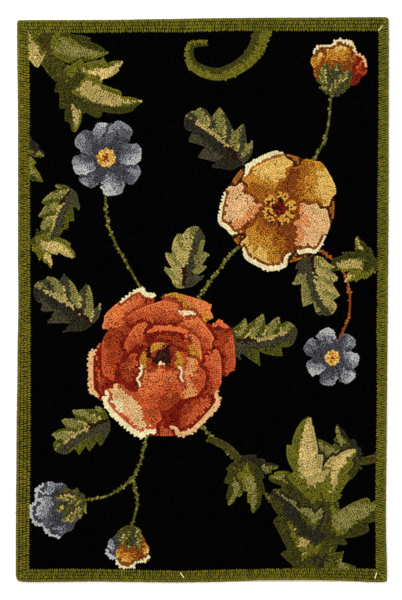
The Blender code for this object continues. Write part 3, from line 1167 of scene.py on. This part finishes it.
def shuffle(xy, reach, held, rounds):
    """Loops that stand too close push each other apart; the held ones stay where they are."""
    for _ in range(rounds):
        tree = tree_of(xy)
        moved = xy.copy()
        for number in np.flatnonzero(~held):
            here = xy[number]
            push_x = push_y = 0.0
            for place, other, gap in tree.find_range((*here, 0), GROUND_REACH):
                wanted = (reach[number] + reach[other]) / 2
                if 1e-6 < gap < wanted:
                    strength = (wanted - gap) / gap
                    push_x += (here[0] - place.x) * strength
                    push_y += (here[1] - place.y) * strength
            moved[number] = (here[0] + PUSH * push_x, here[1] + PUSH * push_y)
        xy = moved
    return xy


columns, rows = (np.arange(-half, half, LATTICE_STEP) for half in HALF_FIELD)
lattice = np.stack(np.meshgrid(columns, rows), 2).reshape(-1, 2)
owners = owners_of(lattice, design)
for _ in range(2):
    xy = shuffle(xy, reach_of(owner), held, rounds=4)
    tree = tree_of(xy)
    found = [tree.find((x, y, 0))[1:] for x, y in lattice]
    nearest = np.array([number for number, _ in found])
    gaps = np.array([gap for _, gap in found])
    bare = [k for k in np.argsort(-gaps) if gaps[k] > BARE_SHARE * reach_of(owners[k:k + 1])[0]]
    patches = Canvas()
    for k in bare:
        x, y = lattice[k]
        if patches.is_free(x, y, PATCH_GAP):
            patches.take(x, y, turn[nearest[k]], owners[k])
    spots = np.array(patches.spots).reshape(-1, 4)
    xy = np.vstack([xy, spots[:, :2]])
    turn = np.append(turn, spots[:, 2])
    owner = np.append(owner, spots[:, 3].astype(int))
    held = np.append(held, np.zeros(len(spots), bool))
xy = shuffle(xy, reach_of(owner), held, rounds=3)
xy[~held] += dice.normal(0, LOOP_JITTER, (np.count_nonzero(~held), 2))

colour = np.tile(yarn_colour["black"], (len(xy), 1))
grain = dice.normal(0, 1, len(xy)).clip(-2, 2)
outlines = [even_steps(close(shape.outline), ROUGH_OUTLINE_STEP) for shape in design]
for number, shape in enumerate(design):
    mine = np.flatnonzero(owner == number)
    if not len(mine):
        continue
    along, across = along_and_across(shape, xy[mine])
    under = np.full(len(mine), FAR_OFF)
    low, high = xy[mine].min(0) - SHADOW_REACH, xy[mine].max(0) + SHADOW_REACH
    for above in outlines[:number]:
        if (above.max(0) > low).all() and (above.min(0) < high).all():
            under = np.minimum(under, from_edge(above, xy[mine]))
    yarns = shape.shading(along, across, under, grain[mine])
    colour[mine] = [yarn_colour[yarn] for yarn in yarns]


# Length, width, looseness, and how much lower than the rest; lines stand a little proud
DESIGN_LOOP = (4.25 * MM, 5.1 * MM, 1.0, 0.0)
OUTLINE_LOOP = (4.9 * MM, 4.8 * MM, 0.4, 0.0)
LINE_LOOP = (4.7 * MM, 4.6 * MM, 0.2, -0.25 * MM)
GROUND_LOOP = (4.75 * MM, 5.8 * MM, 1.0, 0.5 * MM)


def hook_chosen(name, chosen, finish):
    """Hooks the chosen spots, with loops of the kind that each of them calls for."""
    kinds = np.full((chosen.sum(), 4), DESIGN_LOOP)
    kinds[held[chosen]] = OUTLINE_LOOP
    kinds[lines[owner[chosen]]] = LINE_LOOP
    kinds[owner[chosen] < 0] = GROUND_LOOP
    along, across, loose, sunk = kinds.T
    spots = SimpleNamespace(
        xy=xy[chosen] * MM, turn=turn[chosen], lean=np.zeros((chosen.sum(), 2)),
        along=along, across=across, loose=loose, colour=colour[chosen],
    )
    hook(name, plain_loop, spots, finish, sunk)


for chosen, finish, near_name, far_name in (
    (owner >= 0, coloured_wool, "design_loops_near", "design_loops_far"),
    (owner == GROUND, black_wool, "ground_loops_near", "ground_loops_far"),
):
    near = xy[:, 1] < np.median(xy[chosen, 1])
    hook_chosen(near_name, chosen & near, finish)
    hook_chosen(far_name, chosen & ~near, finish)

# ----------------------------------------
# White stitches.  Three short stitches of cotton cross the border and dip into it at both ends.
STITCHES = (  # start, end, radius of the thread
    ((287.3, 439.2), (294.8, 448.1), 0.62),
    ((-36.3, -445.3), (-30.1, -454.7), 0.85),
    ((281.8, -455.9), (285.0, -446.1), 0.85),
)
PLY_TURN = 3.2 * MM
PLY_STEP = 0.3 * MM
STITCH_LIFT = 0.9 * MM
STITCH_DIP = 3.0 * MM
PLY_SHARE = 0.56  # a ply's radius, for a thread of radius 1
STITCH_PITCH = 0.8 * MM
WHITE_COTTON = (0.74, 0.70, 0.46, 1.0)
# painted shade of the same cotton, where its threads dip under
WHITE_PAINTED_SHADE = (0.54, 0.50, 0.29, 1.0)

plies = []
for start, end, thread in STITCHES:
    start, end = Vector((*start, 0)) * MM, Vector((*end, 0)) * MM
    ahead = (end - start).normalized()
    aside = Vector((-ahead.y, ahead.x, 0))
    count = round((end - start).length / PLY_STEP)
    for first_turn in (0, math.pi):
        bpy.ops.curve.primitive_nurbs_path_add(location=(0, 0, 0))
        ply = bpy.context.object
        ply.data.splines.clear()
        line = ply.data.splines.new("POLY")
        line.points.add(count)
        for number, point in enumerate(line.points):
            share = number / count
            arch = 1 - (2 * share - 1) ** 6
            rise = pile_top - STITCH_DIP + (STITCH_DIP + STITCH_LIFT) * arch
            twist = first_turn + 2 * math.pi * number * PLY_STEP / PLY_TURN
            place = start.lerp(end, share) + Vector((0, 0, rise))
            place += (aside * math.cos(twist) + Vector((0, 0, math.sin(twist)))) * thread * MM / 2
            point.co = (*place, 1)
        ply.data.bevel_depth = thread * MM * PLY_SHARE
        ply.data.bevel_resolution = 2
        ply.data.use_fill_caps = True
        bpy.ops.object.convert(target="MESH")
        plies.append(bpy.context.object)
for ply in plies:
    ply.select_set(True)
bpy.context.view_layer.objects.active = plies[0]
bpy.ops.object.join()
stitches = bpy.context.object
stitches.name = "white_stitches"
bpy.ops.object.mode_set(mode="EDIT")
bpy.ops.mesh.select_all(action="SELECT")
bpy.ops.mesh.remove_doubles(threshold=0.01 * MM)
bpy.ops.mesh.normals_make_consistent(inside=False)
bpy.ops.object.mode_set(mode="OBJECT")
bpy.ops.object.shade_smooth_by_angle(angle=SMOOTH_UP_TO)
stitches.data.materials.append(
    woven_cotton("white stitching cotton", WHITE_COTTON, WHITE_PAINTED_SHADE, STITCH_PITCH, 0.2 * MM)
)
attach(stitches, "root")
